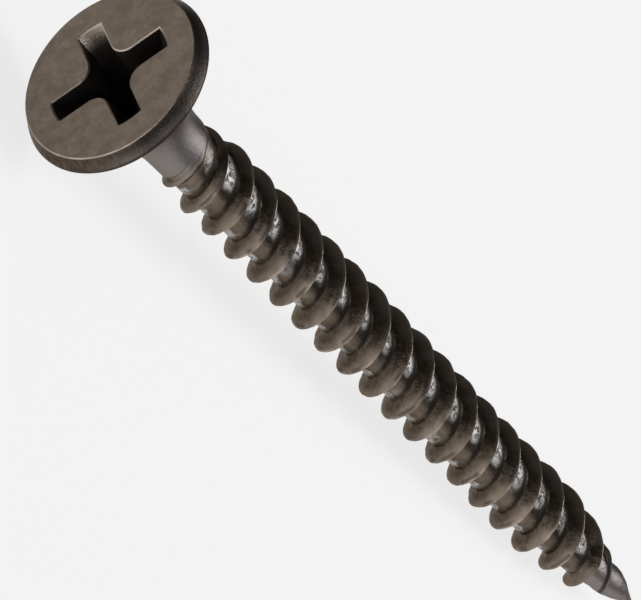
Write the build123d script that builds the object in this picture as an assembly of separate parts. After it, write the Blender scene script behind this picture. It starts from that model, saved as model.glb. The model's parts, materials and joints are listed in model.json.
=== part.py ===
"""Fine-thread drywall screw, 3.5 x 42 mm, with a bugle head and a No. 2 cross recess.

The screw is cold-headed and thread-rolled from one piece of wire, so it is one solid.  It is built in
its own axes, with the flat of the head at z = 0, the point towards +Z and +X along its upper side,
and is then laid down as it comes to rest, on the rim of its head and on two crests near the point.
All sizes are in millimetres and all angles in degrees.
"""

from build123d import *
import math
import os

# Head
FACE_DIAMETER = 7.67
RIM_DIAMETER = 8.10
RIM_DEPTH = 0.60          # from the flat face back to the widest circle
RIM_ROUND = 0.15          # from the widest circle back to the bugle
RIM_LIP = 0.06            # the bugle meets the rim this much inside the widest circle
BUGLE_RADIUS = 4.50       # the concave sweep that ends along the neck
FACE_EDGE_BEVEL = 0.04

# Cross recess, No. 2
RECESS_SPAN = 5.24        # across opposite wings, at the face
RECESS_DEPTH = 2.90
RECESS_CENTRE = (-0.04, -0.07)  # the punch struck this far off the axis
RECESS_TURN = -16.4       # from the upper side of the lying screw to the nearest wing
WING_WIDTH = 1.10
WING_DRAFT = 3.5          # lean of each wing's side walls
WING_END_ANGLE = 26.5     # lean of the wings' outer ends, which lie on one cone
INNER_CORNER_RADIUS = 0.70
RECESS_FLOOR_ANGLE = 140.0

# Shank and point
NECK_DIAMETER = 2.63
NECK_END = 5.90
ROOT_DIAMETER = 2.26
ROOT_START = 6.90
POINT_START = 35.60       # from here the root closes in on the tip
POINT_BREAK = 39.40       # where the root's slender cone meets the blunter one of the tip
BREAK_DIAMETER = 1.32
SCREW_LENGTH = 42.60
TIP_DIAMETER = 0.08

# Thread: two starts, right-handed
STARTS = 2
LEAD = 3.62               # neighbouring crests are LEAD / STARTS apart
CREST_DIAMETER = 3.43
FLANK_ANGLE = 30.0        # of each flank, from a plane square to the axis
CREST_PHASE = 0.90        # from the face to a crest, along the upper side
THREAD_START = 5.20
THREAD_END = 40.60
CREST_TAPER_START = 36.60  # from here the crests close in on the tip
CREST_TAPER = 13.6        # from the axis
RIDGE_ROOTING = 0.18      # how deep a ridge reaches into the shank
POINT_ROOTING = 0.14      # the same, round the point

# Where the thread begins, its crests stay within a turned form with this (radius, distance from the face)
RUN_OUT = [(1.15, 4.00), (1.15, 5.00), (1.47, 6.20), (1.69, 8.00), (1.80, 9.70), (2.40, 11.00)]

face_radius = FACE_DIAMETER / 2
rim_radius = RIM_DIAMETER / 2
neck_radius = NECK_DIAMETER / 2
root_radius = ROOT_DIAMETER / 2
crest_radius = CREST_DIAMETER / 2
recess_radius = RECESS_SPAN / 2
thread_depth = crest_radius - root_radius
spacing = LEAD / STARTS
lowest_crest = CREST_PHASE + spacing * math.floor((CREST_TAPER_START - CREST_PHASE) / spacing)
droop = math.atan2(rim_radius - crest_radius, lowest_crest - RIM_DEPTH)


def turned(outline):
    """Revolve a closed outline of (radius, distance from the face) about the screw's axis."""
    return revolve(Plane.XZ * make_face(outline), axis=Axis.Z)


def bugle_arc(lip, neck_start):
    """The concave sweep from the lip of the rim to the neck, which it meets along the axis."""
    centre_radius = neck_radius + BUGLE_RADIUS
    half_turn = math.atan2(neck_start - lip[1], centre_radius - lip[0]) / 2
    middle = (
        centre_radius - BUGLE_RADIUS * math.cos(half_turn),
        neck_start - BUGLE_RADIUS * math.sin(half_turn),
    )
    return ThreePointArc(lip, middle, (neck_radius, neck_start))


def make_blank():
    """The turned form under the thread: head, bugle, neck, root and point."""
    lip = (rim_radius - RIM_LIP, RIM_DEPTH + RIM_ROUND)
    neck_start = lip[1] + math.sqrt(BUGLE_RADIUS**2 - (neck_radius + BUGLE_RADIUS - lip[0]) ** 2)
    rim = Polyline(
        (0, 0),
        (face_radius - FACE_EDGE_BEVEL, 0),
        (face_radius, FACE_EDGE_BEVEL),
        (rim_radius, RIM_DEPTH),
        lip,
    )
    shank_and_point = Polyline(
        (neck_radius, neck_start),
        (neck_radius, NECK_END),
        (root_radius, ROOT_START),
        (root_radius, POINT_START),
        (BREAK_DIAMETER / 2, POINT_BREAK),
        (TIP_DIAMETER / 2, SCREW_LENGTH),
        (0, SCREW_LENGTH),
        (0, 0),
    )
    return turned([*rim.edges(), bugle_arc(lip, neck_start), *shank_and_point.edges()])


def crest_line(start, end, taper, index):
    """The helix that one start's crest follows between two distances from the face."""
    pitch = LEAD / math.cos(math.radians(taper))
    helix = Helix(pitch, end - start, crest_radius, center=(0, 0, start), cone_angle=-taper)
    turn = 360 * ((start - CREST_PHASE) / LEAD + index / STARTS)
    return helix.rotate(Axis.Z, turn)


def make_ridge(crest, depth):
    """Sweep the thread's ridge, a sharp V, along its crest line."""
    half_base = depth * math.tan(math.radians(FLANK_ANGLE))
    section = make_face(Polyline((-depth, -half_base), (0, 0), (-depth, half_base), close=True))
    start = crest @ 0
    outward = Vector(start.X, start.Y, 0).normalized()
    section_plane = Plane(origin=start, x_dir=outward, z_dir=outward.cross(Vector(0, 0, 1)))
    return sweep(section_plane * section, path=crest, is_frenet=True)


def make_thread():
    """All the ridges: an even one with its run-out and a shrinking one, for each start."""
    first, last = RUN_OUT[0][1], THREAD_END + LEAD
    widest = RUN_OUT[-1][0]
    limit = turned(Polyline((0, first), *RUN_OUT, (widest, last), (0, last), close=True))
    ridges = []
    for index in range(STARTS):
        shank_crest = crest_line(THREAD_START, CREST_TAPER_START, 0, index)
        point_crest = crest_line(CREST_TAPER_START, THREAD_END, CREST_TAPER, index)
        ridges.append(make_ridge(shank_crest, thread_depth + RIDGE_ROOTING) & limit)
        ridges.append(make_ridge(point_crest, thread_depth + POINT_ROOTING))
    return ridges


def cross_section(depth):
    """The punch's cross at a depth below the face, with its wings left long."""
    lean_in = depth * math.tan(math.radians(WING_DRAFT))
    wing = Rectangle(RECESS_SPAN * 1.5, WING_WIDTH - 2 * lean_in)
    cross = wing + wing.rotate(Axis.Z, 90)
    inner_corners = cross.vertices().sort_by_distance((0, 0, 0))[:4]
    return Pos(0, 0, depth) * fillet(inner_corners, INNER_CORNER_RADIUS - lean_in)


def make_recess():
    """The punch: a cross with leaning walls, cut off by the cone of the wings' ends."""
    floor_radius = recess_radius - RECESS_DEPTH * math.tan(math.radians(WING_END_ANGLE))
    floor_depth = RECESS_DEPTH + floor_radius / math.tan(math.radians(RECESS_FLOOR_ANGLE / 2))
    walls = loft([cross_section(0), cross_section(floor_depth)], ruled=True)
    ends = turned(
        Polyline((0, 0), (recess_radius, 0), (floor_radius, RECESS_DEPTH), (0, floor_depth), close=True)
    )
    return Pos(*RECESS_CENTRE) * (walls & ends).rotate(Axis.Z, RECESS_TURN)


def lay_down(screw):
    """Lay the screw on the plane z = 0, head towards -X, with the origin under its middle."""
    lying = Plane(
        origin=(0, 0, 0),
        x_dir=(math.sin(droop), 0, math.cos(droop)),
        z_dir=(math.cos(droop), 0, -math.sin(droop)),
    )
    screw = lying.location * screw
    box = screw.bounding_box()
    return Pos(-box.center().X, -box.center().Y, -box.min.Z) * screw


screw = make_blank()
for ridge in make_thread():
    screw += ridge
screw -= make_recess()
screw = lay_down(screw)
screw.label = "screw"

os.makedirs("parts", exist_ok=True)
export_step(screw, "parts/screw.step")
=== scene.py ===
"""A fine-thread drywall screw, lying as it comes to rest, on a pale floor under soft studio light.

The screw is one piece, modelled in its own axes in millimetres: z runs from the flat face of the head to
the point and x along its upper side.  It is then laid where the frame says that its axes are.
"""

import json
import logging
import math
from dataclasses import dataclass, field
from enum import Enum
from math import cos, radians
from typing import Sequence

import bmesh
import bpy
from mathutils import Matrix, Quaternion, Vector, noise


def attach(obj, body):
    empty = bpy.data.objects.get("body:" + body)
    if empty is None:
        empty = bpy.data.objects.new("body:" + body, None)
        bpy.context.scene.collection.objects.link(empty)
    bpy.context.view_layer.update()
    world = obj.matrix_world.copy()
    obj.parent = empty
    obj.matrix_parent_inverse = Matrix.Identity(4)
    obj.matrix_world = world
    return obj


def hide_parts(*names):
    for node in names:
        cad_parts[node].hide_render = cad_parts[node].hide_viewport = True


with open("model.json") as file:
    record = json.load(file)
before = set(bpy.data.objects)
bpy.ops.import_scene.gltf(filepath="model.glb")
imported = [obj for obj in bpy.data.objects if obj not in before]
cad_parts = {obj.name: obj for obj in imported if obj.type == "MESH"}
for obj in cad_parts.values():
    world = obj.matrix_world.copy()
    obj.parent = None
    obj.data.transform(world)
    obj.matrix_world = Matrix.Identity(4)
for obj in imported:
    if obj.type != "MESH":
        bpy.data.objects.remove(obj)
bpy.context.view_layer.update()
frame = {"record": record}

logging.basicConfig(level=logging.INFO, format="%(message)s")
log = logging.getLogger("drywall_screw")

MM = 0.001
TINY = 1e-4  # millimetres: points nearer than this are the same point
AXIS = (0.0, 0.0, 1.0)
BMesh, Piece, Socket = bmesh.types.BMesh, bpy.types.Object, bpy.types.NodeSocket
Table = Sequence[tuple[float, float]]
Triple = tuple[float, float, float]


class Wear(Enum):
    """The surface masks that the finish reads, each kept as one number per vertex; besides wear they carry
    painted shade, painted highlights and painted glints.
    """

    # rubbed steel, and a painted sheen on one side of the rim
    RUBBED_AND_SHEEN = "rubbed_and_sheen"
    # scuffs, and painted glints in the roots and a painted highlight on the point
    SCUFFS_AND_GLINTS = "scuffs_and_glints"
    # bare edges: wear on crests and corners, and painted highlights on the recess lip, the longest wing's
    # end, one side of the face's corner and the upper crests
    EDGE = "edge"
    # dull coat, and painted shade on some sides of the thread
    DULL_AND_SHADE = "dull_and_shade"
    # painted shade: darkening laid where shade falls
    PAINTED_SHADE = "painted_shade"


@dataclass(frozen=True)
class Ramp:
    """A smooth rise from 0 at start to 1 at end, which is a fall where end is the smaller."""

    start: float
    end: float

    def at(self, place: float) -> float:
        """Give how far up the ramp a place is, from 0 to 1."""
        share = min(1.0, max(0.0, (place - self.start) / (self.end - self.start)))
        return share * share * (3.0 - 2.0 * share)


@dataclass(frozen=True)
class Band:
    """A stretch that rises from start to full, and falls from ease to end."""

    start: float
    full: float
    ease: float
    end: float

    def at(self, place: float) -> float:
        """Give the strength at a place, from 0 to 1."""
        return Ramp(self.start, self.full).at(place) * Ramp(self.end, self.ease).at(place)


@dataclass(frozen=True)
class Side:
    """A side of the screw, by its angle from the upper side in degrees, and how a mark fades round it."""

    way: float
    fade: Ramp
    strength: float = 1.0

    def at(self, angle: float, ragged: float = 0.0) -> float:
        """Give the mark's strength at an angle in radians, with its border moved by ragged."""
        return self.strength * self.fade.at(cos(angle - radians(self.way)) + ragged)


def uneven(spot: Vector, waves: float, start: Sequence[float] = (0.0, 0.0, 0.0)) -> float:
    """Give smooth noise from about -1 to 1, with a number of waves to the millimetre."""
    return noise.noise(spot * waves + Vector(start))


def along(table: Table, place: float) -> float:
    """Read a table of (place, value) pairs, straight between its rows.

    Args:
        table: Rows in rising order of place.
        place: Where to read it.

    Returns:
        The value there, held at the ends.
    """
    if place <= table[0][0]:
        return table[0][1]
    for (start, low), (end, high) in zip(table, table[1:]):
        if place <= end:
            return low + (high - low) * (place - start) / (end - start)
    return table[-1][1]


def smooth_max(first: float, second: float, blend: float) -> float:
    """Give the larger of two radii, with a fillet where they are within blend of each other."""
    gap = max(0.0, 1.0 - abs(first - second) / blend)
    return max(first, second) + blend * gap * gap * 0.25


def revolve(bm: BMesh, steps: int) -> None:
    """Spin an outline round the screw's axis in a number of steps, and close it."""
    outline = bm.verts[:] + bm.edges[:]
    bmesh.ops.spin(bm, geom=outline, axis=AXIS, angle=math.tau, steps=steps, use_merge=True)
    bmesh.ops.remove_doubles(bm, verts=bm.verts, dist=TINY)


@dataclass(frozen=True)
class ScrewAxes:
    """Where the screw's own axes lie in the row frame."""

    matrix: Matrix

    @classmethod
    def from_record(cls, record: dict, recess_centre: Vector) -> "ScrewAxes":
        """Work the axes out from the record's mount at the recess.

        Args:
            record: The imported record.
            recess_centre: Where that mount is in the screw's own axes, in millimetres.

        Returns:
            The axes, from millimetres along the screw to metres in the row frame.
        """
        mount = next(item for item in record["mounts"] if item["name"] == "drive_recess")
        to_point = -Vector(mount["axis"]).normalized()
        across = to_point.cross(Vector((0.0, 0.0, 1.0))).normalized()
        upper = across.cross(to_point)
        turn = Matrix((upper, to_point.cross(upper), to_point)).transposed()
        face_centre = Vector(mount["pos_m"]) - turn @ recess_centre * MM
        return cls(Matrix.Translation(face_centre) @ turn.to_4x4() @ Matrix.Scale(MM, 4))

    def place(self, point: Sequence[float]) -> Vector:
        """Give a point of the screw's own axes in the row frame."""
        return self.matrix @ Vector(point)


@dataclass(frozen=True)
class Start:
    """How one of the thread's two starts leaves its even place, and how it grows out of the neck."""

    shift: Table
    growth: Table


@dataclass
class Thread:
    """The two-start ridge and the core under it, from the neck to the point."""

    lead: float = 3.62
    crest_phase: float = 0.9
    crest_flat: float = 0.025
    crest_slope: float = 1.85
    flank_curve: float = 0.3
    foot_fillet: float = 0.12
    steps_per_turn: int = 112
    rows_per_spacing: int = 30
    crowding: float = 1.35
    cut_low: float = 4.95
    cut_high: float = 42.52
    seam_angle: float = 150.0
    neck: Table = ((4.7, 1.315), (5.15, 1.305), (5.6, 1.295), (6.5, 1.29))
    core: Table = (
        (5.0, 1.23), (6.92, 1.2), (8.8, 1.155), (10.6, 1.11), (14.0, 1.08), (18.0, 1.06), (23.0, 1.07),
        (26.0, 1.12), (29.0, 1.15), (33.5, 1.15), (35.1, 1.09), (36.1, 0.98), (37.94, 0.86),
        (39.1, 0.74), (39.75, 0.68), (40.15, 0.685), (40.49, 0.65), (41.1, 0.5), (41.71, 0.28),
        (42.2, 0.12), (42.6, 0.04),
    )
    neck_edge: Table = (
        (-10.0, 6.46), (80.0, 5.63), (102.0, 5.53), (120.0, 5.32), (148.0, 5.16), (180.0, 5.1),
        (290.0, 5.1), (350.0, 6.46),
    )
    neck_drop: float = 0.2
    crest: Table = (
        (7.9, 1.67), (9.7, 1.67), (12.0, 1.7), (15.0, 1.71), (18.0, 1.73), (20.0, 1.72), (24.0, 1.7),
        (29.0, 1.685), (31.5, 1.685), (35.2, 1.72), (36.0, 1.615), (36.85, 1.5), (38.0, 1.36),
        (38.45, 1.29), (38.85, 1.22), (39.5, 0.83), (40.2, 0.715), (40.7, 0.58), (41.4, 0.41),
        (42.6, 0.0),
    )
    starts: tuple[Start, Start] = (
        Start(
            shift=(
                (6.4, 0.32), (8.6, 0.0), (33.0, 0.0), (35.0, 0.06), (36.3, 0.12), (36.9, 0.22),
                (37.25, 0.42), (37.55, 0.38), (37.75, 0.28), (37.95, 0.19), (38.2, 0.17), (38.8, 0.0),
                (40.0, 0.1),
            ),
            growth=(
                (4.6, 1.2), (5.2, 1.31), (5.63, 1.335), (6.43, 1.5), (7.0, 1.59), (7.9, 1.67),
                (8.0, 9.0),
            ),
        ),
        Start(
            shift=(
                (7.0, 0.04), (7.9, 0.16), (9.6, 0.0), (33.0, 0.0), (35.0, 0.06), (36.3, 0.12),
                (38.0, 0.18), (40.0, 0.22),
            ),
            growth=(
                (5.6, 1.2), (6.1, 1.42), (6.37, 1.49), (6.54, 1.53), (7.0, 1.61), (7.9, 1.67),
                (8.0, 9.0), (36.9, 9.0), (37.0, 1.48), (38.8, 1.03), (38.95, 1.02), (39.1, 0.96),
                (39.26, 0.86), (39.42, 0.83), (39.57, 0.81), (39.75, 0.79), (40.2, 0.72), (40.3, 9.0),
            ),
        ),
    )
    sway: Table = (
        (-10.0, 0.0), (60.0, 0.0), (90.0, -0.03), (120.0, 0.0), (150.0, 0.06), (180.0, 0.15),
        (210.0, 0.15), (300.0, 0.0), (350.0, 0.0),
    )
    swaying: Band = Band(8.0, 10.0, 35.0, 37.0)
    crease_offset: float = -0.3
    crease_width: float = 0.06
    crease_depth: float = 0.04
    creased: Band = Band(4.95, 5.3, 6.2, 6.5)
    lap_offset: float = -0.055
    lap_width: float = 0.05
    lap_depth: float = 0.07
    lap_side: float = 88.0
    lap_opens: Ramp = Ramp(0.42, 0.52)
    lap_one_sided: float = 0.45
    lap_waves: float = 1.3
    lap_noise_start: Triple = (0.0, 3.0, 0.0)
    lapped: Band = Band(6.6, 7.2, 37.0, 38.5)
    slender: Ramp = Ramp(38.3, 38.9)
    least_fillet: float = 0.02
    point_drift: float = 0.145
    point_drift_way: float = -30.0
    drift_begins: Ramp = Ramp(38.2, 41.2)
    crest_wander: float = 0.028
    wander_radius: float = 1.8
    wander_waves: float = 1.1
    dent_waves: float = 3.3
    dent_share: float = 0.6
    dent_noise_start: Triple = (7.0, 0.0, 0.0)
    wandering: Band = Band(5.5, 8.0, 38.0, 39.5)
    crest_lobe: float = 0.02
    lobes: int = 4
    skin_wander: float = 0.01
    skin_waves: float = 2.3
    fine_skin_waves: float = 5.7
    fine_skin_share: float = 0.5
    rough_skin: Band = Band(6.0, 7.5, 38.0, 41.0)
    rest_radius: float = 4.084
    rest_slope: float = 0.0673

    @property
    def spacing(self) -> float:
        """The distance between neighbouring crests."""
        return self.lead / len(self.starts)

    def nearest_crest(self, angle: float, height: float) -> tuple[int, float]:
        """Find the crest nearest to a point of the even thread.

        Args:
            angle: Round the screw from its upper side, in radians.
            height: From the flat face, in millimetres.

        Returns:
            The crest's number, even for one start and odd for the other, and how far past it the point is
            along the screw, negative on the head's side.
        """
        turns = (height - self.crest_phase) / self.spacing - angle / math.pi
        number = round(turns)
        return number, (turns - number) * self.spacing

    def past_crest(self, angle: float, height: float) -> float:
        """Give how far a point of the finished thread is past its crest, along the screw."""
        number, offset = self.nearest_crest(angle, height)
        return offset - self.crest_shift(number, angle, height - offset)

    def round_screw(self, angle: float) -> float:
        """Give where an angle lies round the screw in degrees from its seam, from -10 to 350."""
        return (self.seam_angle - math.degrees(angle) + 10.0) % 360.0 - 10.0

    def crest_shift(self, number: int, angle: float, height: float) -> float:
        """Give how far a crest stands off its even place, along the screw."""
        sway = along(self.sway, self.round_screw(angle)) * self.swaying.at(height)
        return along(self.starts[number % 2].shift, height) + sway

    def core_radius(self, angle: float, height: float) -> float:
        """Give the radius between the ridges, which steps down where the neck ends.

        Args:
            angle: Round the screw from its upper side, in radians.
            height: From the flat face, in millimetres.

        Returns:
            The radius in millimetres.
        """
        edge = along(self.neck_edge, self.round_screw(angle))
        share = Ramp(edge, edge + self.neck_drop).at(height)
        return along(self.neck, height) * (1.0 - share) + along(self.core, height) * share

    def crest_radius(self, number: int, height: float, angle: float) -> float:
        """Give the radius over a crest, with its small dents and burrs.

        Args:
            number: The crest's number.
            height: Where the crest is, from the flat face.
            angle: Round the screw from its upper side, in radians.

        Returns:
            The radius in millimetres, within the line the screw rests on.
        """
        out = self.wander_radius
        spot = Vector((out * cos(angle), out * math.sin(angle), height))
        dents = uneven(spot, self.dent_waves, self.dent_noise_start)
        wander = self.crest_wander * (uneven(spot, self.wander_waves) + self.dent_share * dents)
        wander += self.crest_lobe * cos(self.lobes * (angle - radians(self.seam_angle)))
        radius = min(along(self.crest, height), along(self.starts[number % 2].growth, height))
        radius += wander * self.wandering.at(height)
        return min(radius, self.rest_radius - self.rest_slope * height)

    def groove(self, number: int, offset: float, spot: Vector) -> float:
        """Give the depth of the rolling marks: a crease along the neck and laps beside the crests.

        Args:
            number: The nearest crest's number.
            offset: How far past it the place is, along the screw.
            spot: The place, in the screw's own axes.

        Returns:
            The depth in millimetres.
        """
        crease = 1.0 - min(1.0, abs(offset - self.crease_offset) / self.crease_width)
        crease *= self.crease_depth * self.creased.at(spot.z)
        return crease * (1 - number % 2) + self.lap_depth * self.lap(offset, spot)

    def lap(self, offset: float, spot: Vector) -> float:
        """Give how open the seam beside a crest is, where the metal was rolled over.

        Args:
            offset: How far past the crest, in millimetres.
            spot: Where that is, in the screw's own axes.

        Returns:
            A share from 0 to 1.
        """
        across = 1.0 - min(1.0, abs(offset - self.lap_offset) / self.lap_width)
        side = self.lap_one_sided * cos(math.atan2(spot.y, spot.x) - radians(self.lap_side))
        here = self.lap_opens.at(side + uneven(spot, self.lap_waves, self.lap_noise_start))
        return across * here * self.lapped.at(spot.z)

    def surface(self, angle: float, height: float) -> Vector:
        """Give the place on the finished surface of one vertex of the plain tube.

        Args:
            angle: Round the screw from its upper side, in radians.
            height: Its even height, in millimetres.

        Returns:
            The point in the screw's own axes.
        """
        number, offset = self.nearest_crest(angle, height)
        crest_height = height - offset
        half = self.spacing / 2
        share = abs(offset) / half
        offset = math.copysign(half * share**self.crowding, offset)
        share = share**self.crowding / 2
        other = number + (1 if offset > 0.0 else -1)
        shift = self.crest_shift(number, angle, crest_height) * (1.0 - share)
        shift += self.crest_shift(other, angle, crest_height + (other - number) * self.spacing) * share
        height = crest_height + offset + shift
        out = max(0.0, abs(offset) - self.crest_flat / 2)
        crest = self.crest_radius(number, height - offset, angle)
        slender = self.slender.at(height)
        ridge = crest - out * (self.crest_slope * (1.0 + slender) + self.flank_curve * out)
        core = self.core_radius(angle, height)
        fillet = min(self.foot_fillet * (1.0 - slender / 2), max(self.least_fillet, (crest - core) / 2))
        radius = smooth_max(core, ridge, fillet)
        way = Vector((cos(angle), math.sin(angle), 0.0))
        spot = way * radius + Vector((0.0, 0.0, height))
        skin = uneven(spot, self.skin_waves) + self.fine_skin_share * uneven(spot, self.fine_skin_waves)
        radius += self.skin_wander * skin * self.rough_skin.at(height)
        radius -= self.groove(number, offset, spot)
        drift = self.point_drift * self.drift_begins.at(height)
        drift_way = radians(self.point_drift_way)
        return way * radius + Vector((drift * cos(drift_way), drift * math.sin(drift_way), height))

    def build(self) -> BMesh:
        """Spin one row of vertices into a helical tube, then draw it in to the thread's form.

        Returns:
            The tube, cut square at both ends, open there.
        """
        bm = bmesh.new()
        below = math.floor((self.cut_low - self.crest_phase) / self.spacing) - len(self.starts) - 1
        above = math.ceil((self.cut_high - self.crest_phase) / self.spacing) + 1
        row = self.spacing / self.rows_per_spacing
        first = self.crest_phase + self.spacing * below - row / 2
        last = self.crest_phase + self.spacing * above - row / 2
        line = bm.edges.new((bm.verts.new((1.0, 0.0, first)), bm.verts.new((1.0, 0.0, last))))
        bmesh.ops.subdivide_edges(bm, edges=[line], cuts=(above - below) * self.rows_per_spacing - 1)
        bmesh.ops.spin(
            bm, geom=bm.verts[:] + bm.edges[:], axis=AXIS, angle=math.tau, steps=self.steps_per_turn,
            dvec=(0.0, 0.0, self.lead / self.steps_per_turn),
        )
        bmesh.ops.remove_doubles(bm, verts=bm.verts, dist=row / 8)
        for vert in bm.verts:
            vert.co = self.surface(math.atan2(vert.co.y, vert.co.x), vert.co.z)
        for height, side in ((self.cut_low, -1.0), (self.cut_high, 1.0)):
            bmesh.ops.bisect_plane(
                bm, geom=bm.verts[:] + bm.edges[:] + bm.faces[:], dist=TINY,
                plane_co=(0.0, 0.0, height), plane_no=(0.0, 0.0, side), clear_outer=True,
            )
        return bm


@dataclass
class Head:
    """The bugle head down to its neck."""

    face_radius: float = 3.8
    face_corner: Table = (
        (-0.06, 0.0), (-0.0564, 0.0012), (-0.033, 0.0045), (-0.015, 0.015), (0.0, 0.045), (0.012, 0.085),
        (0.07, 0.2), (0.11, 0.3),
    )
    rim_radius: float = 4.05
    rim_depth: float = 0.6
    rim: Table = ((-0.03, -0.08), (0.0, 0.0), (-0.012, 0.07), (-0.06, 0.15))
    bugle_radius: float = 4.5
    neck_radius: float = 1.315
    neck_end: float = 4.8
    steps: int = 120
    face_rings: int = 24
    bugle_steps: int = 24

    def build(self) -> BMesh:
        """Spin the head's outline.

        Returns:
            The head, open at the neck.
        """
        outline = [Vector((self.face_radius + out, 0.0, depth)) for out, depth in self.face_corner]
        outline += [Vector((self.rim_radius + out, 0.0, self.rim_depth + depth)) for out, depth in self.rim]
        bm = bmesh.new()
        centre = bm.verts.new((0.0, 0.0, 0.0))
        corner = bm.verts.new(outline[0])
        face = bm.edges.new((centre, corner))
        bmesh.ops.subdivide_edges(bm, edges=[face], cuts=self.face_rings)
        last = max(bm.verts, key=lambda vert: vert.co.x)
        for point in outline[1:]:
            vert = bm.verts.new(point)
            bm.edges.new((last, vert))
            last = vert
        lip = outline[-1]
        arc_centre = Vector((self.neck_radius + self.bugle_radius, 0.0, 0.0))
        arc_centre.z = lip.z + math.sqrt(self.bugle_radius**2 - (arc_centre.x - lip.x) ** 2)
        sweep = math.asin((arc_centre.z - lip.z) / self.bugle_radius)
        arc = bmesh.ops.spin(
            bm, geom=[last], cent=arc_centre, axis=(0.0, 1.0, 0.0), angle=sweep, steps=self.bugle_steps
        )
        last = next(item for item in arc["geom_last"] if isinstance(item, bmesh.types.BMVert))
        neck = bm.verts.new((self.neck_radius, 0.0, self.neck_end))
        bm.edges.new((last, neck))
        revolve(bm, self.steps)
        return bm


@dataclass
class Recess:
    """The punch that leaves the cross recess in the face, with its edge rolled over a little."""

    span: float = 5.24
    depth: float = 2.9
    wing_width: float = 1.04
    turn: float = -16.4
    mount: Vector = field(default_factory=lambda: Vector((-0.04, -0.07, 0.0)))
    centre: Vector = field(default_factory=lambda: Vector((-0.01, -0.02, 0.0)))
    end_lean: float = 26.5
    draft: float = 3.5
    inner_radius: float = 0.73
    inner_steps: int = 8
    lip: Table = ((0.1325, -0.015), (0.03, 0.012), (0.0, 0.038))
    long_wings: float = 0.75
    overrun: float = 1.0
    floor_rise: float = 0.4
    end_steps: int = 96
    wall_cuts: Sequence[float] = (0.12, 0.3, 0.5, 0.75, 1.0)
    margin: float = 0.1
    # where the painted highlight lies on the end wall of the longest wing
    lit_wing: float = -106.4
    lit_width: float = 20.0
    light_reach: Ramp = Ramp(0.25, 0.08)
    light_depth: Ramp = Ramp(0.85, 0.12)

    @property
    def lip_end(self) -> float:
        """How deep the rolled lip reaches, and a little more."""
        return self.lip[-1][1] + 0.01

    @property
    def lean(self) -> float:
        """How fast the wings' ends close in on the axis with depth."""
        return math.tan(radians(self.end_lean))

    def cross(self) -> BMesh:
        """Make the cross with its wings left long.

        Returns:
            A closed bmesh from just outside the face to the recess's floor.
        """
        widest, top = self.lip[0]
        width = self.wing_width + 2.0 * widest
        bm = bmesh.new()
        bmesh.ops.create_grid(bm, x_segments=3, y_segments=3, size=width * 1.5)
        corners = [face for face in bm.faces if min(map(abs, face.calc_center_median().xy)) > width / 2]
        bmesh.ops.delete(bm, geom=corners, context="FACES")
        bmesh.ops.dissolve_faces(bm, faces=bm.faces)
        reach = self.span * self.long_wings
        inner = []
        for vert in bm.verts:
            for axis in range(2):
                if abs(vert.co[axis]) > width:
                    vert.co[axis] = math.copysign(reach, vert.co[axis])
            if vert.co.length < width:
                inner.append(vert)
        bmesh.ops.bevel(
            bm, geom=inner, offset=self.inner_radius - widest, offset_type="OFFSET",
            segments=self.inner_steps, profile=0.5, affect="VERTICES", material=-1,
        )
        bmesh.ops.translate(bm, verts=bm.verts, vec=(0.0, 0.0, top))
        cap = bm.faces[:][0]
        cap.normal_update()
        facing = 1.0 if cap.normal.z > 0.0 else -1.0
        for (wide, high), (narrow, low) in zip(self.lip, self.lip[1:]):
            bmesh.ops.inset_region(
                bm, faces=[cap], use_boundary=True, use_even_offset=True, thickness=wide - narrow,
                depth=(low - high) * facing,
            )
        deep = bmesh.ops.extrude_face_region(bm, geom=[cap])
        floor = [item for item in deep["geom"] if isinstance(item, bmesh.types.BMVert)]
        if cap.is_valid:
            bmesh.ops.delete(bm, geom=[cap], context="FACES_ONLY")
        length = self.depth + self.overrun
        taper = 1.0 - 2.0 * length * math.tan(radians(self.draft)) / self.wing_width
        bmesh.ops.translate(bm, verts=floor, vec=(0.0, 0.0, length))
        bmesh.ops.scale(bm, verts=floor, vec=(taper, taper, 1.0))
        bmesh.ops.edgeloop_fill(bm, edges=[edge for edge in bm.edges if edge.is_boundary])
        bmesh.ops.recalc_face_normals(bm, faces=bm.faces)
        return bm

    def ends(self) -> BMesh:
        """Make the cone that cuts the wings off and closes the floor.

        Returns:
            A closed bmesh.
        """
        outline = [(0.0, self.lip[0][1])]
        outline += [(self.span / 2 - height * self.lean + across, height) for across, height in self.lip]
        outline += [(self.span / 2 - self.depth * self.lean, self.depth), (0.0, self.depth + self.floor_rise)]
        bm = bmesh.new()
        verts = [bm.verts.new((radius, 0.0, height)) for radius, height in outline]
        for pair in zip(verts, verts[1:]):
            bm.edges.new(pair)
        revolve(bm, self.end_steps)
        bmesh.ops.recalc_face_normals(bm, faces=bm.faces)
        return bm

    def holds(self, point: Vector) -> bool:
        """Tell whether a point of the finished screw is on the recess's walls or floor."""
        reach = self.span / 2 + self.margin - point.z * self.lean
        deepest = self.depth + self.floor_rise + self.margin
        return self.lip_end < point.z < deepest and (point - self.centre).xy.length < reach

    def lit_end(self, point: Vector) -> float:
        """Give how much painted light lies on the wall of the longest wing's end: a painted highlight at the
        top of that wall, fading deeper in.

        Args:
            point: A point on the recess, in the screw's own axes.

        Returns:
            A share from 0 to 1.
        """
        out = point - self.centre
        away = math.degrees(math.atan2(out.y, out.x)) - self.lit_wing
        if abs(away) >= self.lit_width:
            return 0.0
        at_end = self.light_reach.at(abs(self.span / 2 - point.z * self.lean - out.xy.length))
        return at_end * self.light_depth.at(point.z)

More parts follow.
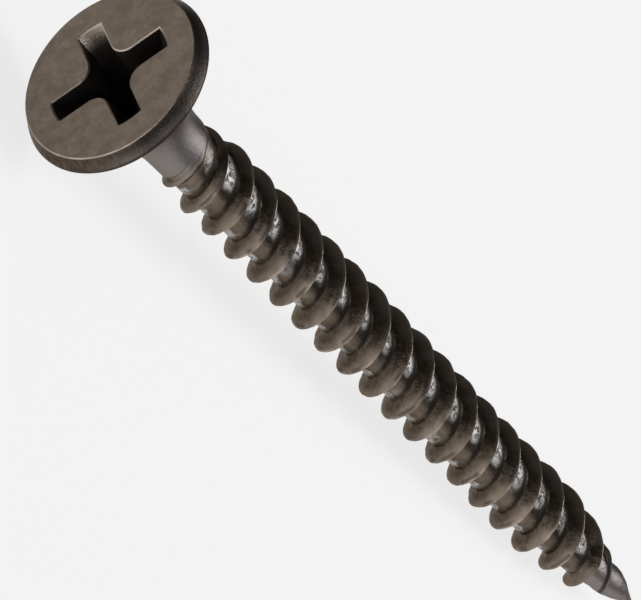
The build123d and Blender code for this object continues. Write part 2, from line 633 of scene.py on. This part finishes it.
    def build(self) -> Piece:
        """Make the punch, in its place in the screw's own axes.

        Returns:
            A scratch object, which isn't part of the scene once the recess is cut.
        """
        bm = cut(object_of("cross", self.cross()), object_of("ends", self.ends()), "INTERSECT")
        bmesh.ops.remove_doubles(bm, verts=bm.verts, dist=10.0 * TINY)
        for depth in self.wall_cuts:
            bmesh.ops.bisect_plane(
                bm, geom=bm.verts[:] + bm.edges[:] + bm.faces[:], dist=TINY,
                plane_co=(0.0, 0.0, depth), plane_no=AXIS,
            )
        turn = Matrix.Rotation(radians(self.turn), 4, "Z")
        bmesh.ops.transform(bm, matrix=Matrix.Translation(self.centre) @ turn, verts=bm.verts)
        return object_of("punch", bm)


def object_of(name: str, bm: BMesh) -> Piece:
    """Turn a bmesh into an object of the scene.

    Args:
        name: The object's name.
        bm: The bmesh, which is freed.

    Returns:
        The object.
    """
    mesh = bpy.data.meshes.new(name)
    bm.to_mesh(mesh)
    bm.free()
    made = bpy.data.objects.new(name, mesh)
    bpy.context.scene.collection.objects.link(made)
    return made


def in_order(mesh: bpy.types.Mesh) -> BMesh:
    """Copy a mesh with its elements sorted by place, because a cut leaves them in any order.

    Args:
        mesh: The mesh that a cut left.

    Returns:
        The same surface.
    """
    ordered = sorted(mesh.vertices, key=lambda vert: vert.co.to_tuple())
    ranks = {vert.index: rank for rank, vert in enumerate(ordered)}
    loops = []
    for face in mesh.polygons:
        loop = [ranks[index] for index in face.vertices]
        first = loop.index(min(loop))
        loops.append(loop[first:] + loop[:first])
    bm = bmesh.new()
    verts = [bm.verts.new(vert.co) for vert in ordered]
    for loop in sorted(loops):
        bm.faces.new([verts[rank] for rank in loop])
    return bm


def cut(body: Piece, tool: Piece, operation: str) -> BMesh:
    """Combine two scratch objects and remove them.

    Args:
        body: The object that is kept or cut.
        tool: The object that cuts it.
        operation: The Boolean modifier's operation.

    Returns:
        The bmesh that is left.
    """
    modifier = body.modifiers.new("cut", "BOOLEAN")
    modifier.operation = operation
    modifier.solver = "EXACT"
    modifier.object = tool
    bpy.context.view_layer.update()
    depsgraph = bpy.context.evaluated_depsgraph_get()
    mesh = bpy.data.meshes.new_from_object(body.evaluated_get(depsgraph))
    for item in (body, tool):
        bpy.data.objects.remove(item)
    bm = in_order(mesh)
    bpy.data.meshes.remove(mesh)
    return bm


class Nodes:
    """Short ways to add the shader nodes that the finishes share."""

    def __init__(self, name: str) -> None:
        """Start an empty material with its output."""
        self.material = bpy.data.materials.new(name)
        self.material.use_nodes = True
        self.tree = self.material.node_tree
        self.tree.nodes.clear()
        self.output = self.add("ShaderNodeOutputMaterial")

    def add(self, kind: str, **settings: object) -> bpy.types.Node:
        """Add a node and set its plain settings.

        Args:
            kind: The node's type.
            settings: Its settings by name.

        Returns:
            The node.
        """
        node = self.tree.nodes.new(kind)
        for name, value in settings.items():
            setattr(node, name, value)
        return node

    def feed(self, socket: Socket, value: object) -> None:
        """Link a socket to another, or give it a number or a colour.

        Args:
            socket: The input.
            value: What goes into it.
        """
        if isinstance(value, Socket):
            self.tree.links.new(value, socket)
        elif isinstance(value, tuple) and len(value) == 3 and socket.type == "RGBA":
            socket.default_value = (*value, 1.0)
        else:
            socket.default_value = value

    def maths(self, operation: str, first: object, second: object = 0.0) -> Socket:
        """Combine two numbers, kept between 0 and 1.

        Args:
            operation: The node's operation.
            first, second: The numbers.

        Returns:
            The result.
        """
        node = self.add("ShaderNodeMath", operation=operation, use_clamp=True)
        self.feed(node.inputs[0], first)
        self.feed(node.inputs[1], second)
        return node.outputs["Value"]

    def spread(self, value: object, low: float, high: float, start: float = 0.0, end: float = 1.0) -> object:
        """Map the range from low to high onto the range from start to end.

        Args:
            value: What is mapped.
            low, high: The range it comes from.
            start, end: The range it goes to.

        Returns:
            The result.
        """
        node = self.add("ShaderNodeMapRange")
        names = ("Value", "From Min", "From Max", "To Min", "To Max")
        for name, number in zip(names, (value, low, high, start, end)):
            self.feed(node.inputs[name], number)
        return node.outputs["Result"]

    def mixed(self, share: object, first: object, second: object) -> Socket:
        """Mix two colours.

        Args:
            share: How much of the second.
            first, second: The colours.

        Returns:
            The result.
        """
        node = self.add("ShaderNodeMix", data_type="RGBA")
        self.feed(node.inputs["Factor"], share)
        self.feed(node.inputs["A"], first)
        self.feed(node.inputs["B"], second)
        return node.outputs["Result"]

    def pattern(
        self, scale: float, detail: float = 3.0, roughness: float = 0.5, stretch: float = 1.0
    ) -> Socket:
        """Add smooth noise.

        Args:
            scale: Waves to the millimetre.
            detail: How many finer layers it has.
            roughness: How strong they are.
            stretch: How much longer it is along the screw.

        Returns:
            The noise, around 0.5.
        """
        place = self.add("ShaderNodeTexCoord")
        size = self.add("ShaderNodeMapping")
        size.inputs["Scale"].default_value = (1.0 / MM / stretch, 1.0 / MM, 1.0 / MM)
        self.feed(size.inputs["Vector"], place.outputs["Object"])
        node = self.add("ShaderNodeTexNoise")
        self.feed(node.inputs["Vector"], size.outputs["Vector"])
        self.feed(node.inputs["Scale"], scale)
        self.feed(node.inputs["Detail"], detail)
        self.feed(node.inputs["Roughness"], roughness)
        return node.outputs["Fac"]

    def mask(self, wear: Wear) -> Socket:
        """Read one of the wear masks."""
        return self.add("ShaderNodeAttribute", attribute_name=wear.value).outputs["Fac"]


@dataclass(frozen=True)
class PhosphateFinish:
    """A dark brown-grey phosphate coat, rubbed to bare steel where the dies and handling wore it, with
    painted shade, painted highlights and painted glints laid in through the masks.
    """

    slot: str = "phosphated_steel"
    coat: Triple = (0.325, 0.266, 0.218)
    coat_dark: Triple = (0.235, 0.187, 0.146)
    # the dull coat's colour, also used for painted shade
    dull_and_shade: Triple = (0.057, 0.044, 0.033)
    # rubbed steel, also the colour of the painted sheen on the rim
    steel: Triple = (0.265, 0.245, 0.245)
    # bare steel of the scuffs, also the colour of the painted glints
    bare_steel_and_glint: Triple = (0.6, 0.59, 0.585)
    # the colour of worn edges and of the painted highlights on edges
    worn_and_highlight: Triple = (0.62, 0.53, 0.45)
    # the colour of the painted shade
    painted_shade: Triple = (0.075, 0.064, 0.058)
    edge_tint: Triple = (0.6, 0.55, 0.51)
    coat_roughness: float = 0.31
    steel_roughness: float = 0.42

    def make(self) -> bpy.types.Material:
        """Make the finish.

        Returns:
            The material, which reads Object coordinates and the wear masks.
        """
        nodes = Nodes("phosphate")
        shader = nodes.add("ShaderNodeBsdfPrincipled")
        shader.inputs["Metallic"].default_value = 1.0
        shader.inputs["Specular Tint"].default_value = (*self.edge_tint, 1.0)
        nodes.feed(nodes.output.inputs["Surface"], shader.outputs["BSDF"])
        mottle = nodes.spread(nodes.pattern(1.6, 4.0), 0.36, 0.62)
        grain = nodes.spread(nodes.pattern(11.0, 3.0), 0.32, 0.68)
        specks = nodes.spread(nodes.pattern(5.0, 4.0, 0.6), 0.31, 0.51)
        coat = nodes.mixed(mottle, self.coat_dark, self.coat)
        coat = nodes.mixed(nodes.maths("MULTIPLY", grain, 0.3), coat, self.coat_dark)
        streaks = nodes.spread(nodes.pattern(6.0, 3.0, 0.6, stretch=6.0), 0.35, 0.65, 0.75, 1.0)
        # dull coat and painted shade
        coat = nodes.mixed(nodes.maths("MULTIPLY", nodes.mask(Wear.DULL_AND_SHADE), streaks), coat, self.dull_and_shade)
        rubbed_and_sheen = nodes.mask(Wear.RUBBED_AND_SHEEN)
        # scuffs and painted glints
        scuffs_and_glints = nodes.maths("MULTIPLY", nodes.mask(Wear.SCUFFS_AND_GLINTS), specks)
        colour = nodes.mixed(rubbed_and_sheen, coat, self.steel)
        colour = nodes.mixed(scuffs_and_glints, colour, self.bare_steel_and_glint)
        # worn edges and painted highlights on edges
        colour = nodes.mixed(nodes.mask(Wear.EDGE), colour, self.worn_and_highlight)
        # painted shade darkens the colour and roughens it
        colour = nodes.mixed(nodes.mask(Wear.PAINTED_SHADE), colour, self.painted_shade)
        nodes.feed(shader.inputs["Base Color"], colour)
        bare = nodes.maths("MAXIMUM", rubbed_and_sheen, scuffs_and_glints)
        rough = nodes.spread(bare, 0.0, 1.0, self.coat_roughness, self.steel_roughness)
        rough = nodes.maths("MAXIMUM", rough, nodes.maths("MULTIPLY", nodes.mask(Wear.PAINTED_SHADE), 0.7))
        nodes.feed(shader.inputs["Roughness"], rough)
        bump = nodes.add("ShaderNodeBump")
        bump.inputs["Strength"].default_value = 0.3
        bump.inputs["Distance"].default_value = 0.02 * MM
        nodes.feed(bump.inputs["Height"], grain)
        pits = nodes.add("ShaderNodeBump")
        pits.inputs["Distance"].default_value = 0.05 * MM
        nodes.feed(pits.inputs["Strength"], nodes.maths("MULTIPLY", nodes.mask(Wear.SCUFFS_AND_GLINTS), 0.8))
        nodes.feed(pits.inputs["Height"], specks)
        nodes.feed(pits.inputs["Normal"], bump.outputs["Normal"])
        nodes.feed(shader.inputs["Normal"], pits.outputs["Normal"])
        return nodes.material


@dataclass(frozen=True)
class Place:
    """A point below the head: where it lies, round the screw, past the nearest crest and on the point."""

    spot: Vector
    angle: float
    offset: float
    threaded: float
    at_point: float
    point: float


@dataclass
class WearMap:
    """Where the coat is rubbed, scuffed or dulled, and where painted shade, painted highlights and painted
    glints lie, by heights, angles and offsets from a crest.
    """

    head: Head
    thread: Thread
    recess: Recess
    face_coat: float = 0.55
    mouth_share: float = 0.9
    # painted highlight on the recess's rolled lip, where it faces one way
    lit_lip: Side = Side(90.0, Ramp(0.1, 0.8), 0.95)
    # the side of the rim that carries painted sheen low down and painted shade near the face
    rim_side: Side = Side(20.0, Ramp(-0.1, 0.8))
    rim_low: Ramp = Ramp(0.22, 0.4)
    rim_sheen: float = 0.5
    rim_shade: float = 0.6
    rim_shade_begins: Ramp = Ramp(0.03, 0.08)
    corner_height: float = 0.02
    # the side where the face's corner carries a painted highlight, broken in patches
    corner: Side = Side(95.0, Ramp(-0.2, 0.9))
    corner_least: float = 0.15
    corner_light: float = 0.5
    corner_patch: float = 0.25
    corner_patches: Ramp = Ramp(-0.2, 0.2)
    corner_waves: float = 2.1
    threaded: Band = Band(5.6, 6.2, 37.6, 38.2)
    tip_begins: Ramp = Ramp(38.95, 39.2)
    point_begins: Ramp = Ramp(37.3, 38.3)
    point_root: Ramp = Ramp(0.25, 0.45)
    # darker towards the feet of the head-facing flanks, lightest over the crests
    thread_coat: Table = (
        (-0.7, 0.65), (-0.58, 0.9), (-0.42, 1.0), (-0.3, 0.97), (-0.21, 0.66), (-0.12, 0.2),
        (-0.05, 0.05), (0.1, 0.2), (0.5, 0.5), (0.7, 0.65),
    )
    thread_coat_begins: Ramp = Ramp(5.2, 6.0)
    # painted shade on two sides of the thread
    shaded_sides: tuple[Side, ...] = (Side(165.0, Ramp(0.3, 0.95), 0.5), Side(38.0, Ramp(0.8, 0.97), 0.6))
    # darker under the head
    under_head: Ramp = Ramp(2.6, 1.2)
    # painted shade on one side of the last ridge
    last_ridge_shade: Side = Side(130.0, Ramp(0.0, 0.8), 0.5)
    last_ridge_begins: Ramp = Ramp(37.5, 38.1)
    last_ridge_band: Ramp = Ramp(0.4, 0.3)
    neck_rub: float = 0.85
    neck: Band = Band(2.2, 3.2, 5.2, 6.0)
    point_rub: float = 0.8
    # painted shade on the last head-facing flank
    last_flank_shade: float = 0.85
    last_flank: Band = Band(-0.27, -0.17, 0.0, 0.05)
    last_flank_ends: Ramp = Ramp(40.8, 40.5)
    # painted shade under the rim
    under_rim_shade: float = 0.7
    under_rim: Ramp = Ramp(1.0, 0.8)
    # where the painted shade in the laps ends
    lap_shade_end: Ramp = Ramp(38.8, 38.2)
    # painted shade at the feet of the ridges, on one side
    foot_shade: Side = Side(22.0, Ramp(0.2, 0.6), 0.9)
    foot_shade_band: Band = Band(-0.7, -0.56, -0.42, -0.3)
    # painted glints in the roots, on three sides
    glint_sides: tuple[Side, ...] = (
        Side(22.0, Ramp(0.78, 0.89)),
        Side(138.0, Ramp(0.92, 0.96), 0.95),
        Side(245.0, Ramp(0.8, 0.9), 0.6),
    )
    ragged: float = 0.1
    ragged_waves: float = 2.6
    patch: float = 0.5
    patches: Ramp = Ramp(0.1, 0.5)
    patch_waves: float = 0.8
    root_after: Ramp = Ramp(0.42, 0.56)
    root_before: Ramp = Ramp(0.5, 0.9)
    # painted highlight on the upper side of the crests and of the point
    upper_highlight: Side = Side(0.0, Ramp(0.55, 0.95))
    point_highlight: float = 0.55
    crest_middle: float = 0.02
    crest_band: Ramp = Ramp(0.08, 0.025)
    crests: Band = Band(6.8, 7.6, 38.4, 39.0)
    crest_least: float = 0.1
    crest_highlight: float = 0.85
    burr: float = 0.55
    burrs: Ramp = Ramp(0.05, 0.35)
    burr_waves: float = 1.7

    def fill(self, bm: BMesh) -> None:
        """Fill in the wear masks.

        Args:
            bm: The screw in its own axes.
        """
        for kind in Wear:
            bm.verts.layers.float.new(kind.value)
        layers = {kind: bm.verts.layers.float[kind.value] for kind in Wear}
        for vert in bm.verts:
            for kind, amount in self.masks(vert.co, vert.normal).items():
                vert[layers[kind]] = amount

    def masks(self, spot: Vector, normal: Vector) -> dict[Wear, float]:
        """Give the masks at a point.

        Args:
            spot: Where it is, in the screw's own axes.
            normal: Which way the surface faces there.

        Returns:
            The masks that aren't 0.
        """
        if spot.z < 10.0 * TINY:
            return {Wear.DULL_AND_SHADE: self.face_coat}
        if spot.xy.length < self.head.face_radius * self.mouth_share and spot.z < self.recess.lip_end:
            # the recess's lip: a painted highlight where it faces one way
            lit = self.lit_lip.at(math.atan2(normal.y, normal.x))
            return {Wear.DULL_AND_SHADE: self.face_coat, Wear.EDGE: lit}
        if self.recess.holds(spot):
            # inside the recess: painted shade, except a painted highlight on the longest wing's end
            lit = self.recess.lit_end(spot)
            return {Wear.PAINTED_SHADE: 1.0 - lit, Wear.EDGE: lit}
        if spot.z < self.head.rim_depth:
            return self.rim(spot)
        place = self.place(spot)
        return {
            Wear.RUBBED_AND_SHEEN: max(self.neck_rub * self.neck.at(spot.z), self.point_rub * place.point),
            Wear.SCUFFS_AND_GLINTS: self.scuffs_and_glints(place),
            Wear.EDGE: self.crest(place),
            Wear.DULL_AND_SHADE: self.dull_and_shade(place),
            Wear.PAINTED_SHADE: self.painted_shade(place),
        }

    def rim(self, spot: Vector) -> dict[Wear, float]:
        """Give the masks on the side of the head and on its corner: painted shade near the face and a painted
        sheen further down on one side of the rim, and a corner worn all round with a painted highlight on one
        side.

        Args:
            spot: A point above the rim's widest ring.

        Returns:
            The masks there.
        """
        angle = math.atan2(spot.y, spot.x)
        # painted sheen low on one side of the rim, painted shade above it near the face
        rim_side, low = self.rim_side.at(angle), self.rim_low.at(spot.z)
        rubbed_and_sheen = self.rim_sheen * rim_side * low
        painted_shade = self.rim_shade * rim_side * (1.0 - low) * self.rim_shade_begins.at(spot.z)
        edge = 0.0
        # the face's corner: worn all round, with a painted highlight on one side
        if spot.z < self.corner_height:
            patches = self.corner_patches.at(uneven(spot, self.corner_waves))
            corner_glint = self.corner_light + self.corner_patch * patches
            edge = self.corner_least + self.corner.at(angle) * corner_glint
        return {Wear.DULL_AND_SHADE: 1.0 - rubbed_and_sheen, Wear.RUBBED_AND_SHEEN: rubbed_and_sheen, Wear.PAINTED_SHADE: painted_shade, Wear.EDGE: edge}

    def place(self, spot: Vector) -> Place:
        """Find a point below the head against the thread.

        Args:
            spot: Where it is, in the screw's own axes.

        Returns:
            Where that is on the thread and the point.
        """
        angle = math.atan2(spot.y, spot.x)
        offset = self.thread.past_crest(angle, spot.z)
        at_point = self.tip_begins.at(spot.z)
        point = self.point_begins.at(spot.z) * max(self.point_root.at(abs(offset)), at_point)
        return Place(spot.copy(), angle, offset, self.threaded.at(spot.z), at_point, point)

    def dull_and_shade(self, place: Place) -> float:
        """Give the dull mask: darker under the head, a dull coat along the flanks that is heaviest towards
        the feet of the head-facing flanks, and painted shade on two sides of the thread and on one side of
        the last ridge.

        Args:
            place: A point below the head.

        Returns:
            The mask.
        """
        coated = along(self.thread_coat, place.offset) * self.thread_coat_begins.at(place.spot.z)
        # painted shade on two sides of the thread
        coated += place.threaded * max(side.at(place.angle) for side in self.shaded_sides)
        # painted shade on one side of the last ridge
        last = self.last_ridge_begins.at(place.spot.z) * self.last_ridge_band.at(abs(place.offset))
        coat = max(self.under_head.at(place.spot.z), coated * (1.0 - place.point))
        return max(min(1.0, coat), last * self.last_ridge_shade.at(place.angle))

    def painted_shade(self, place: Place) -> float:
        """Give the painted shade: under the rim, in the open laps, at the ridges' feet on one side and on the
        last flank.

        Args:
            place: A point below the head.

        Returns:
            The mask.
        """
        height, offset = place.spot.z, place.offset
        # painted shade on the last head-facing flank
        last_flank = self.last_flank_shade * self.last_flank.at(offset)
        last_flank *= place.at_point * self.last_flank_ends.at(height)
        # painted shade in the open laps beside the crests
        lap = self.thread.lap(offset, place.spot) * self.lap_shade_end.at(height)
        # painted shade at the ridges' feet on one side
        foot_shade = self.foot_shade.at(place.angle) * self.foot_shade_band.at(offset) * place.threaded
        # painted shade under the rim, and the other painted shade
        return max(last_flank, lap, self.under_rim_shade * self.under_rim.at(height), foot_shade)

    def scuffs_and_glints(self, place: Place) -> float:
        """Give the scuff mask: painted glints in the roots on three sides, scuffs in random patches there,
        and a painted highlight on the upper side of the point.

        Args:
            place: A point below the head.

        Returns:
            The mask.
        """
        ragged = self.ragged * uneven(place.spot, self.ragged_waves)
        # painted glints on three sides, with scuffs in random patches added
        scuff = max(side.at(place.angle, ragged) for side in self.glint_sides)
        scuff += self.patch * self.patches.at(uneven(place.spot, self.patch_waves))
        before = self.root_before.at(-place.offset)
        root = self.root_after.at(place.offset) if place.offset > 0.0 else before
        # painted highlight on the upper side of the point
        highlight = self.point_highlight * self.upper_highlight.at(place.angle)
        return max(root * place.threaded * min(1.0, scuff), highlight * place.point * (1.0 - place.at_point))

    def crest(self, place: Place) -> float:
        """Give how bare the crests are: a painted highlight all along the upper side, and worn spots and
        burrs all round.

        Args:
            place: A point below the head.

        Returns:
            The mask.
        """
        band = self.crest_band.at(abs(place.offset - self.crest_middle)) * self.crests.at(place.spot.z)
        burr = self.crest_least + self.burr * self.burrs.at(uneven(place.spot, self.burr_waves))
        # painted highlight along the crests on the upper side
        highlight = self.crest_highlight * self.upper_highlight.at(place.angle)
        return band * max(burr, highlight)


@dataclass
class Screw:
    """The whole screw: head, thread and point, as one closed mesh."""

    head: Head = field(default_factory=Head)
    thread: Thread = field(default_factory=Thread)
    recess: Recess = field(default_factory=Recess)
    finish: PhosphateFinish = field(default_factory=PhosphateFinish)
    tip_rise: float = 0.03
    flat_bend: float = 0.01
    sharp_angle: float = 32.0
    in_face: float = 0.9999

    def solid(self) -> BMesh:
        """Join the head to the thread and close the point.

        Returns:
            A closed bmesh without its recess.
        """
        bm = self.head.build()
        shank = self.thread.build()
        mesh = bpy.data.meshes.new("shank")
        shank.to_mesh(mesh)
        shank.free()
        bm.from_mesh(mesh)
        bpy.data.meshes.remove(mesh)
        rims = [edge for edge in bm.edges if edge.is_boundary]
        middle = (self.head.neck_end + self.thread.cut_high) / 2
        neck = [edge for edge in rims if edge.verts[0].co.z < middle]
        point = [edge for edge in rims if edge.verts[0].co.z > middle]
        bmesh.ops.bridge_loops(bm, edges=neck)
        tip = bmesh.ops.holes_fill(bm, edges=point)
        bmesh.ops.poke(bm, faces=tip["faces"], offset=self.tip_rise)
        bmesh.ops.recalc_face_normals(bm, faces=bm.faces)
        return bm

    def build(self, axes: ScrewAxes) -> Piece:
        """Make the finished piece.

        Args:
            axes: Where the screw's own axes lie.

        Returns:
            The piece, in its place in the row frame.
        """
        bm = cut(object_of("body", self.solid()), self.recess.build(), "DIFFERENCE")
        bmesh.ops.remove_doubles(bm, verts=bm.verts, dist=TINY)
        self.clear_face(bm)
        WearMap(self.head, self.thread, self.recess).fill(bm)
        bmesh.ops.transform(bm, matrix=axes.matrix, verts=bm.verts)
        bmesh.ops.recalc_face_normals(bm, faces=bm.faces)
        self.set_sharp_edges(bm)
        piece = object_of("screw_visual", bm)
        piece.data.materials.append(self.finish.make())
        return piece

    def clear_face(self, bm: BMesh) -> None:
        """Leave out the lines that the flat face doesn't need.

        Args:
            bm: The screw in its own axes.
        """
        flats = {face for face in bm.faces if all(abs(vert.co.z) < TINY for vert in face.verts)}
        seams = [edge for edge in bm.edges if len(edge.link_faces) == 2 and flats.issuperset(edge.link_faces)]
        bmesh.ops.dissolve_limit(bm, angle_limit=self.flat_bend, verts=[], edges=seams)
        bm.normal_update()

    def set_sharp_edges(self, bm: BMesh) -> None:
        """Shade every face smooth, but split the shading at sharp edges and round the flat face.

        Args:
            bm: The finished screw.
        """
        limit = radians(self.sharp_angle)
        flat_way = max(bm.faces, key=lambda face: face.calc_area()).normal.copy()
        for face in bm.faces:
            face.smooth = True
        for edge in bm.edges:
            if len(edge.link_faces) == 2:
                flat = sum(1 for face in edge.link_faces if face.normal.dot(flat_way) > self.in_face)
                edge.smooth = flat != 1 and edge.calc_face_angle() < limit


@dataclass(frozen=True)
class Lamp:
    """A soft rectangular lamp: its size is wide by high in metres, and white paper looks as bright at 1."""

    name: str
    toward: Triple
    distance: float
    size: tuple[float, float]
    brightness: float


@dataclass
class Studio:
    """The floor, the lights and the camera."""

    floor_size: float = 6.0
    floor_colour: float = 0.3
    floor_glow: float = 0.774
    world_level: float = 0.09
    lamps: tuple[Lamp, ...] = (
        Lamp("tip_side", (0.77, -0.05, 0.62), 1.1, (0.8, 0.65), 1.4),
        Lamp("tip_front", (0.55, -0.74, 0.38), 1.1, (1.0, 0.5), 0.35),
        Lamp("front", (-0.3, -0.82, 0.48), 1.1, (0.24, 0.24), 3.0),
        Lamp("overhead", (0.45, -0.12, 0.88), 1.3, (0.8, 0.7), 2.0),
    )
    camera_elevation: float = 23.5095
    camera_heading: float = 41.6724
    camera_roll: float = 65.1913
    camera_distance: float = 386.357
    camera_lens: float = 564.3744
    aim: Vector = field(default_factory=lambda: Vector((3.98301, 7.43407, 8.35601)))

    def floor(self) -> Piece:
        """Lay the pale floor.

        Returns:
            The floor.
        """
        bm = bmesh.new()
        bmesh.ops.create_grid(bm, x_segments=1, y_segments=1, size=self.floor_size / 2)
        floor = object_of("floor", bm)
        nodes = Nodes("floor")
        paint = nodes.add("ShaderNodeBsdfDiffuse")
        nodes.feed(paint.inputs["Color"], (self.floor_colour,) * 3)
        path = nodes.add("ShaderNodeLightPath")
        seen = nodes.maths("MAXIMUM", path.outputs["Is Camera Ray"], path.outputs["Is Glossy Ray"])
        seen = nodes.maths("MAXIMUM", seen, path.outputs["Is Transmission Ray"])
        glow = nodes.add("ShaderNodeEmission")
        nodes.feed(glow.inputs["Strength"], nodes.maths("MULTIPLY", seen, self.floor_glow))
        both = nodes.add("ShaderNodeAddShader")
        nodes.feed(both.inputs[0], paint.outputs["BSDF"])
        nodes.feed(both.inputs[1], glow.outputs["Emission"])
        nodes.feed(nodes.output.inputs["Surface"], both.outputs["Shader"])
        floor.data.materials.append(nodes.material)
        return floor

    def lamp(self, lamp: Lamp) -> Piece:
        """Hang one soft lamp that looks at the screw.

        Args:
            lamp: Where it hangs, its size and how bright its face looks.

        Returns:
            The lamp.
        """
        data = bpy.data.lights.new(lamp.name, "AREA")
        data.shape = "RECTANGLE"
        data.size, data.size_y = lamp.size
        data.energy = lamp.brightness * math.pi * lamp.size[0] * lamp.size[1]
        hung = bpy.data.objects.new(lamp.name, data)
        toward = Vector(lamp.toward).normalized()
        hung.location = toward * lamp.distance
        hung.rotation_mode = "QUATERNION"
        hung.rotation_quaternion = toward.to_track_quat("Z", "Y")
        bpy.context.scene.collection.objects.link(hung)
        return hung

    def lights(self) -> None:
        """Hang the lamps and set the dim world."""
        for lamp in self.lamps:
            self.lamp(lamp)
        world = bpy.data.worlds.new("studio")
        bpy.context.scene.world = world
        world.use_nodes = True
        background = world.node_tree.nodes["Background"]
        background.inputs["Color"].default_value = (1.0, 1.0, 1.0, 1.0)
        background.inputs["Strength"].default_value = self.world_level

    def camera(self, axes: ScrewAxes) -> Piece:
        """Set up the camera, far away with a long lens.

        Args:
            axes: Where the screw's own axes lie.

        Returns:
            The camera.
        """
        data = bpy.data.cameras.new("camera")
        data.sensor_width = 36.0
        data.sensor_fit = "HORIZONTAL"
        data.lens = self.camera_lens
        data.clip_start = 0.01
        data.clip_end = 50.0
        camera = bpy.data.objects.new("camera", data)
        elevation, heading = radians(self.camera_elevation), radians(self.camera_heading)
        look = Vector((
            cos(elevation) * cos(heading),
            cos(elevation) * math.sin(heading),
            -math.sin(elevation),
        ))
        camera.location = axes.place(self.aim) - look * self.camera_distance * MM
        camera.rotation_mode = "QUATERNION"
        roll = Quaternion((0.0, 0.0, 1.0), radians(self.camera_roll))
        camera.rotation_quaternion = look.to_track_quat("-Z", "Y") @ roll
        bpy.context.scene.collection.objects.link(camera)
        bpy.context.scene.camera = camera
        return camera


def main() -> None:
    """Build the screw and the studio round it."""
    bpy.context.scene.view_settings.view_transform = "Standard"
    screw = Screw()
    axes = ScrewAxes.from_record(frame["record"], screw.recess.mount)
    piece = screw.build(axes)
    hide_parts("screw")
    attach(piece, "root")
    log.info("screw: %d vertices, %d faces", len(piece.data.vertices), len(piece.data.polygons))
    studio = Studio()
    studio.floor()
    studio.lights()
    studio.camera(axes)


if __name__ == "__main__":
    main()
